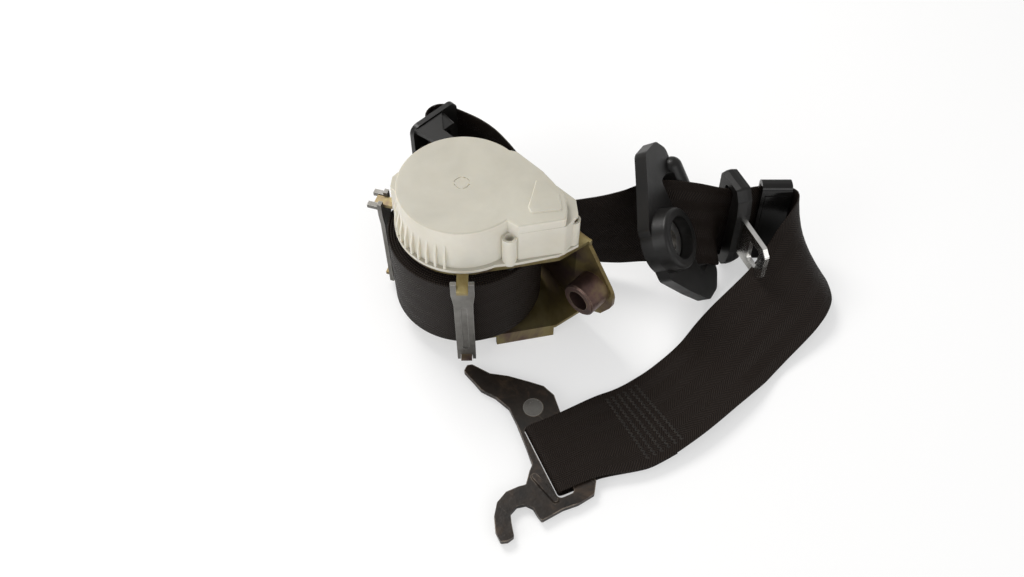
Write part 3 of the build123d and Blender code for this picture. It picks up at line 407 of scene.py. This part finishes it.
def spline(points, steps):
    """Catmull-Rom through points, spaced by chord length. steps[i] samples in span i."""
    pts = [points[0] * 2 - points[1]] + list(points) + [points[-1] * 2 - points[-2]]
    out = []
    for i in range(1, len(pts) - 2):
        p0, p1, p2, p3 = pts[i - 1:i + 3]
        t0 = 0.0
        t1 = max(1e-6, (p1 - p0).length ** 0.5)
        t2 = t1 + max(1e-6, (p2 - p1).length ** 0.5)
        t3 = t2 + max(1e-6, (p3 - p2).length ** 0.5)
        n = steps[i - 1]
        for k in range(n + (i == len(pts) - 3)):
            t = t1 + (t2 - t1) * k / n
            a1 = p0 * ((t1 - t) / (t1 - t0)) + p1 * ((t - t0) / (t1 - t0))
            a2 = p1 * ((t2 - t) / (t2 - t1)) + p2 * ((t - t1) / (t2 - t1))
            a3 = p2 * ((t3 - t) / (t3 - t2)) + p3 * ((t - t2) / (t3 - t2))
            b1 = a1 * ((t2 - t) / (t2 - t0)) + a2 * ((t - t0) / (t2 - t0))
            b2 = a2 * ((t3 - t) / (t3 - t1)) + a3 * ((t - t1) / (t3 - t1))
            out.append(b1 * ((t2 - t) / (t2 - t1)) + b2 * ((t - t1) / (t2 - t1)))
    return out


def strap_mesh(name, tops, lows, thick, lanes=14):
    """A strap between two edge lines, with rounded selvedges and flat coordinates for the weave."""
    rows = len(tops)
    middles = [(a + b) / 2 for a, b in zip(tops, lows)]
    run = [0.0]
    for i in range(1, rows):
        run.append(run[-1] + (middles[i] - middles[i - 1]).length)
    # half profile across the width: the selvedge closes round, a little thicker than the field
    profile = [(-0.5, 0.0), (-0.497, 0.62), (-0.488, 1.0)]
    profile += [(-0.47 + 0.94 * k / lanes, 0.93) for k in range(lanes + 1)]
    profile += [(0.488, 1.0), (0.497, 0.62), (0.5, 0.0)]
    ring = profile + [(u, -h) for u, h in reversed(profile[1:-1])]
    verts, uvs = [], []
    for i in range(rows):
        ahead = middles[min(i + 1, rows - 1)] - middles[max(i - 1, 0)]
        across = tops[i] - lows[i]
        normal = across.cross(ahead).normalized()
        for u, h in ring:
            verts.append(middles[i] + across * u + normal * (h * thick / 2))
            uvs.append(((u + 0.5) * WEB_WIDTH, run[i]))
    n = len(ring)
    faces = []
    for i in range(rows - 1):
        for j in range(n):
            after = (j + 1) % n
            faces.append((i * n + j, i * n + after, (i + 1) * n + after, (i + 1) * n + j))
    faces.append(tuple(range(n - 1, -1, -1)))
    faces.append(tuple((rows - 1) * n + j for j in range(n)))
    mesh = bpy.data.meshes.new(name)
    mesh.from_pydata([tuple(v) for v in verts], [], faces)
    layer = mesh.uv_layers.new(name="flat")
    for loop in mesh.loops:
        layer.data[loop.index].uv = uvs[loop.vertex_index]
    for face in mesh.polygons:
        face.use_smooth = len(face.vertices) == 4
    mesh.materials.append(WEAVE)
    piece = bpy.data.objects.new(name, mesh)
    bpy.context.scene.collection.objects.link(piece)
    return piece, run[-1]


# the strap turns back round the guide
TURN_X, TURN_Y, TURN_RADIUS = -67.0, 47.4, 8.4
GUIDE_LOW = 14            # height of the lower edge where the strap leaves the roll
ARC = [math.radians(step) for step in (30, 60, 90, 120, 150)]

# both edges through loop, tongue and keeper, then round the oblique bend and down to the anchor
PAST_LOOP = [
    (91, 33, 55.7, 98, 13, 15.6), (98, 34.5, 57.2, 120, 10.1, 17),
    (108.5, 34.5, 57.2, 131, 10.1, 17), (122, 34.6, 55, 137.2, 12.6, 13),
    (138.2, 33, 52.3, 138.9, 29.5, 5.5),
]
BEND = [
    (176.2, 33.3, 49.7, 179.7, 28.0, 3.1), (175.6, 28.2, 49.1, 186.8, 23.5, 3.7),
    (172.6, 23.7, 47.0, 192.5, 17.2, 4.9), (169.1, 20.1, 43.2, 196.3, 9.6, 6.3),
    (165.5, 17.2, 38.0, 197.5, 0.9, 7.7), (162.0, 13.6, 32.1, 196.6, -8.5, 9.4),
    (157.2, 8.4, 27.1, 192.5, -17.6, 10.0), (151.3, 2.1, 23.2, 185.2, -26.9, 8.3),
    (144.0, -4.5, 20.2, 176.8, -35.2, 6.4), (136.9, -10.5, 17.3, 169.6, -41.9, 4.9),
    (130.8, -15.8, 15.0, 163.7, -47.6, 4.0), (125.8, -20.4, 12.8, 158.3, -53.2, 4.2),
    (121.4, -24.3, 9.7, 153.4, -58.5, 5.3), (117.7, -27.7, 6.2, 148.1, -63.5, 6.8),
    (113.9, -31.5, 3.5, 142.6, -68.5, 7.7), (109.6, -35.7, 2.4, 136.7, -73.6, 8.3),
    (104.7, -40.3, 2.2, 130.5, -79.0, 8.6), (99.3, -45.0, 2.1, 124.1, -84.4, 8.7),
    (93.4, -49.8, 2.1, 117.5, -89.6, 8.5), (87.0, -54.2, 2.1, 110.9, -94.3, 8.0),
    (80.8, -58.2, 2.3, 104.5, -98.5, 7.2), (74.5, -61.6, 2.8, 97.2, -102.6, 6.7),
    (68.5, -64.2, 3.4, 89.9, -106.0, 6.1), (63.1, -67.4, 4.8, 82.2, -108.1, 5.9),
]
# the doubled layer runs back under the strap as far as the sewn block reaches
DOUBLED = [
    (68.5, -64.2, 1.9, 89.9, -106.0, 4.7), (74.5, -61.6, 1.4, 97.2, -102.6, 5.2),
    (80.8, -58.2, 0.9, 104.5, -98.5, 5.7),
]
# the fold through the slot: its middle, its reach and half its height
FOLD_BACK, FOLD_HEIGHT, FOLD_REACH, FOLD_RISE = -7.4, 3.75, 4.4, 2.75
ROW_SPACING = 0.0016

strap_lines = []


def free_webbing():
    """One strap from the roll, through guide, pillar loop, tongue and keeper, to the sewn end."""
    stations = [upright(-7, 40.05, GUIDE_LOW), upright(-30, 39.2, GUIDE_LOW),
                upright(-60, 39.0, GUIDE_LOW), upright(TURN_X, 39.0, GUIDE_LOW)]
    for a in ARC:
        stations.append(upright(TURN_X - TURN_RADIUS * math.sin(a),
                                TURN_Y - TURN_RADIUS * math.cos(a), GUIDE_LOW))
    stations += [upright(TURN_X, 55.8, GUIDE_LOW), upright(-49.5, 59.5, GUIDE_LOW),
                 upright(-38, 59.8, 13.8), upright(-27.6, 58.2, 13.5), upright(-12, 54.4, 13),
                 upright(4, 50.4, 12), upright(12, 49.2, 11), edge_pair(50, 22, 56, 50, 22, 9),
                 leaning(66, 21.5, 32.0, 6), leaning(82, 22, 33.5, 15)]
    stations += [edge_pair(*row) for row in PAST_LOOP]
    stations += [leaning(143, 31.5, 28.8, 3.5), leaning(148, 32.2, 28.4, 3.5),
                 leaning(156, 33, 27.4, 8), leaning(165, 33.3, 26.8, 8), leaning(172, 33.5, 26.5, 8)]
    stations += [edge_pair(*row) for row in BEND]
    stations += [anchor_station(11, 39.5, 6.2), anchor_station(2, GATHERED, 6.2),
                 anchor_station(-6.4, GATHERED, 6.2)]
    for a in ARC:
        stations.append(anchor_station(FOLD_BACK - FOLD_REACH * math.sin(a), GATHERED,
                                       FOLD_HEIGHT + FOLD_RISE * math.cos(a)))
    stations += [anchor_station(-6.4, GATHERED, 1.2), anchor_station(1.5, GATHERED, 1.2),
                 anchor_station(9.5, GATHERED, 2.4)]
    stations += [edge_pair(*row) for row in DOUBLED]
    middles = [(top + low) / 2 for top, low in stations]
    steps = [max(3, int((b - a).length / ROW_SPACING)) for a, b in zip(middles, middles[1:])]
    tops = spline([top for top, _ in stations], steps)
    lows = spline([low for _, low in stations], steps)
    strap_lines.extend((tops, lows))
    return strap_mesh("free_webbing", tops, lows, WEB_THICK)


strap, strap_length = free_webbing()


# ---------------------------------------------------------------- sewn block

def row_near(place, first, last):
    """The strap row, counted from the roll, whose middle lies nearest to a place."""
    tops, lows = strap_lines
    return min(range(first, last), key=lambda i: ((tops[i] + lows[i]) / 2 - place).length)


def on_strap(row, across):
    """Point on the strap's outer face and the way that face looks.

    The row may be fractional, and across is a share of the width from the middle."""
    tops, lows = strap_lines
    i = int(row)
    part = row - i
    top = tops[i].lerp(tops[i + 1], part)
    low = lows[i].lerp(lows[i + 1], part)
    ahead = (tops[i + 1] + lows[i + 1]) - (tops[i] + lows[i])
    out = (top - low).cross(ahead).normalized()
    return (top + low) / 2 + (top - low) * across + out * (WEB_THICK * 0.47), out


SEAM_SHARE = 0.84         # share of the strap's width that each row of stitches spans


def seam_points(block_start, block_end, lines=6, swing=0.55, pitch=0.0011):
    """Middle, direction and outward normal of every stitch in zigzag rows across the strap."""
    marks = []
    for k in range(lines):
        base = block_start + (block_end - block_start) * k / (lines - 1)
        count = int(SEAM_SHARE * WEB_WIDTH / pitch)
        zigzag = [on_strap(base + (swing if n % 2 else -swing), SEAM_SHARE * n / count - SEAM_SHARE / 2)
                  for n in range(count + 1)]
        for (a, out), (b, _) in zip(zigzag, zigzag[1:]):
            marks.append(((a + b) / 2, b - a, out))
    return marks


def stitch_tree():
    """Geometry Nodes: one thread-shaped bead on each mark, laid along its direction."""
    tree = bpy.data.node_groups.new("thread on seam marks", "GeometryNodeTree")
    tree.interface.new_socket("Geometry", in_out="INPUT", socket_type="NodeSocketGeometry")
    for label, value in (("Stitch Length", 0.0025), ("Thread Width", 0.00085),
                         ("Thread Height", 0.00060)):
        socket = tree.interface.new_socket(label, in_out="INPUT", socket_type="NodeSocketFloat")
        socket.default_value = value
    tree.interface.new_socket("Thread", in_out="INPUT", socket_type="NodeSocketMaterial")
    tree.interface.new_socket("Geometry", in_out="OUTPUT", socket_type="NodeSocketGeometry")
    node = tree.nodes.new
    link = tree.links.new
    given = node("NodeGroupInput")
    bead = node("GeometryNodeMeshUVSphere")
    bead.inputs["Segments"].default_value = 6
    bead.inputs["Rings"].default_value = 6
    bead.inputs["Radius"].default_value = 0.5
    lie, out = (node("GeometryNodeInputNamedAttribute") for _ in range(2))
    for attribute, label in ((lie, "lie"), (out, "out")):
        attribute.data_type = "FLOAT_VECTOR"
        attribute.inputs["Name"].default_value = label
    turn = node("FunctionNodeAxesToRotation")
    turn.primary_axis = "X"
    turn.secondary_axis = "Z"
    size = node("ShaderNodeCombineXYZ")
    placed = node("GeometryNodeInstanceOnPoints")
    whole = node("GeometryNodeRealizeInstances")
    dressed = node("GeometryNodeSetMaterial")
    result = node("NodeGroupOutput")
    link(lie.outputs["Attribute"], turn.inputs["Primary Axis"])
    link(out.outputs["Attribute"], turn.inputs["Secondary Axis"])
    link(given.outputs["Stitch Length"], size.inputs["X"])
    link(given.outputs["Thread Width"], size.inputs["Y"])
    link(given.outputs["Thread Height"], size.inputs["Z"])
    link(given.outputs["Geometry"], placed.inputs["Points"])
    link(bead.outputs["Mesh"], placed.inputs["Instance"])
    link(turn.outputs["Rotation"], placed.inputs["Rotation"])
    link(size.outputs["Vector"], placed.inputs["Scale"])
    link(placed.outputs["Instances"], whole.inputs["Geometry"])
    link(whole.outputs["Geometry"], dressed.inputs["Geometry"])
    link(given.outputs["Thread"], dressed.inputs["Material"])
    link(dressed.outputs["Geometry"], result.inputs["Geometry"])
    return tree


PAST_GUIDE = 200          # the first row that can't be mistaken for the stretch by the roll


def sewn_block():
    """Zigzag rows that hold the doubled end, on the strap's upper face and under the doubled layer."""
    rows = len(strap_lines[0])
    fold_top, fold_low = anchor_station(-8.9, GATHERED, 3.7)
    fold = row_near((fold_top + fold_low) / 2, PAST_GUIDE, rows)
    near_slot, far_side = laid(80.5, -84.5, 5), laid(97.0, -75.5, 5.5)
    marks = seam_points(row_near(far_side, PAST_GUIDE, fold), row_near(near_slot, PAST_GUIDE, fold))
    last = rows - 3
    marks += seam_points(row_near(near_slot, fold, last),
                         row_near(laid(93.0, -77.8, 4), fold, last), lines=5)
    cloud = bpy.data.meshes.new("seam marks")
    cloud.from_pydata([tuple(m[0]) for m in marks], [], [])
    for label, column in (("lie", 1), ("out", 2)):
        values = cloud.attributes.new(label, "FLOAT_VECTOR", "POINT")
        for item, mark in zip(values.data, marks):
            item.vector = mark[column]
    carrier = bpy.data.objects.new("seam marks", cloud)
    bpy.context.scene.collection.objects.link(carrier)
    tree = stitch_tree()
    threads = carrier.modifiers.new("threads", "NODES")
    threads.node_group = tree
    for item in tree.interface.items_tree:
        if item.in_out == "INPUT" and item.name == "Thread":
            threads[item.identifier] = THREAD
    depsgraph = bpy.context.evaluated_depsgraph_get()
    mesh = bpy.data.meshes.new_from_object(carrier.evaluated_get(depsgraph), depsgraph=depsgraph)
    bpy.data.objects.remove(carrier)
    mesh.name = "anchor_stitches"
    for face in mesh.polygons:
        face.use_smooth = True
    piece = bpy.data.objects.new("anchor_stitches", mesh)
    bpy.context.scene.collection.objects.link(piece)
    return piece


stitches = sewn_block()
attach(strap, "reel")
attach(stitches, "reel")
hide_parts("webbing_rear_run", "webbing_mid_run", "webbing_front_run", "webbing_end_loop")


ROLL_TOP, ROLL_LOW = 60.9, 14.1
ROWS_PER_TURN = 72


def wound_webbing():
    """The webbing on the spool: one spiral strap whose turns drift a little up and down."""
    inner, outer, pitch = 14.4, 38.9, 1.27
    turns = (outer - inner) / pitch
    rng = random.Random(5)
    drift = [rng.uniform(-0.16, 0.16) for _ in range(int(turns) + 3)]
    tops, lows = [], []
    for k in range(int(turns * ROWS_PER_TURN) + 1):
        turn = k / ROWS_PER_TURN
        a = math.radians(90) - 2 * math.pi * (turns - turn)
        r = inner + pitch * turn
        i = int(turn)
        lift = drift[i] + (drift[i + 1] - drift[i]) * (turn - i)
        x, y = r * math.cos(a), r * math.sin(a)
        tops.append(Vector((x, y, ROLL_TOP + lift)) * MM)
        lows.append(Vector((x, y, ROLL_LOW + lift)) * MM)
    return strap_mesh("wound_webbing", tops, lows, WEB_THICK * 0.98, lanes=6)


roll, roll_length = wound_webbing()
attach(roll, "spool_assembly")
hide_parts("webbing_roll")


# ---------------------------------------------------------------- stage

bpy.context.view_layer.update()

FLOOR_REACH = 4
floor_mesh = bpy.data.meshes.new("floor")
floor_mesh.from_pydata([(-FLOOR_REACH, -FLOOR_REACH, 0), (FLOOR_REACH, -FLOOR_REACH, 0),
                        (FLOOR_REACH, FLOOR_REACH, 0), (-FLOOR_REACH, FLOOR_REACH, 0)],
                       [], [(0, 1, 2, 3)])
floor = bpy.data.objects.new("floor", floor_mesh)
bpy.context.scene.collection.objects.link(floor)
floor_paint = Paint("pale floor", rough=0.9, specular=0.1)
floor_paint.colour((0.93, 0.93, 0.93))
# the camera sees the floor nearly white, with its soft shadows kept
FLOOR_GLOW = 0.5
seen = floor_paint.node("ShaderNodeLightPath")
glow = floor_paint.node("ShaderNodeEmission")
blended = floor_paint.node("ShaderNodeMixShader")
floor_paint.link(floor_paint.share(seen.outputs["Is Camera Ray"], FLOOR_GLOW), blended.inputs[0])
floor_paint.link(floor_paint.shader.outputs[0], blended.inputs[1])
floor_paint.link(glow.outputs[0], blended.inputs[2])
floor_paint.link(blended.outputs[0], floor_paint.tree.nodes["Material Output"].inputs["Surface"])
floor_mesh.materials.append(floor_paint.mat)


def soft_light(name, place, target, size, power, colour=(1, 1, 1)):
    """A rectangular lamp turned towards a target; sizes in metres and power in watts."""
    lamp = bpy.data.lights.new(name, "AREA")
    lamp.shape = "RECTANGLE"
    lamp.size, lamp.size_y = size
    lamp.energy = power
    lamp.color = colour
    holder = bpy.data.objects.new(name, lamp)
    holder.location = place
    holder.rotation_euler = (Vector(target) - Vector(place)).to_track_quat("-Z", "Y").to_euler()
    bpy.context.scene.collection.objects.link(holder)
    return holder


key = soft_light("key", laid(-420, 560, 1000), laid(120, 0, 20), (0.55, 0.5), 9.5, (1.0, 0.985, 0.96))
fill = soft_light("fill", laid(700, -900, 700), laid(100, 0, 20), (0.9, 0.7), 3.2)
rim = soft_light("rim", laid(-700, -500, 500), laid(60, 0, 20), (0.6, 0.5), 2.2)

world = bpy.data.worlds.new("pale studio")
bpy.context.scene.world = world
world.use_nodes = True
background = world.node_tree.nodes["Background"]
background.inputs["Color"].default_value = (1.0, 1.0, 1.0, 1)
background.inputs["Strength"].default_value = 0.50

# the photograph's camera: focal length in pixels, looking down by this many degrees
FOCAL_PX, PHOTO_WIDTH, SENSOR_MM = 950, 1024, 36
LOOKING_DOWN = 53.2457

camera_data = bpy.data.cameras.new("photo camera")
camera_data.sensor_width = SENSOR_MM
camera_data.lens = FOCAL_PX / PHOTO_WIDTH * SENSOR_MM
camera = bpy.data.objects.new("photo camera", camera_data)
camera.location = (0.2331, -0.2070, 0.4242)
camera.rotation_euler = (math.radians(90 - LOOKING_DOWN), 0, BELT_TURN)
bpy.context.scene.collection.objects.link(camera)
scene = bpy.context.scene
scene.camera = camera
scene.view_settings.view_transform = "Standard"
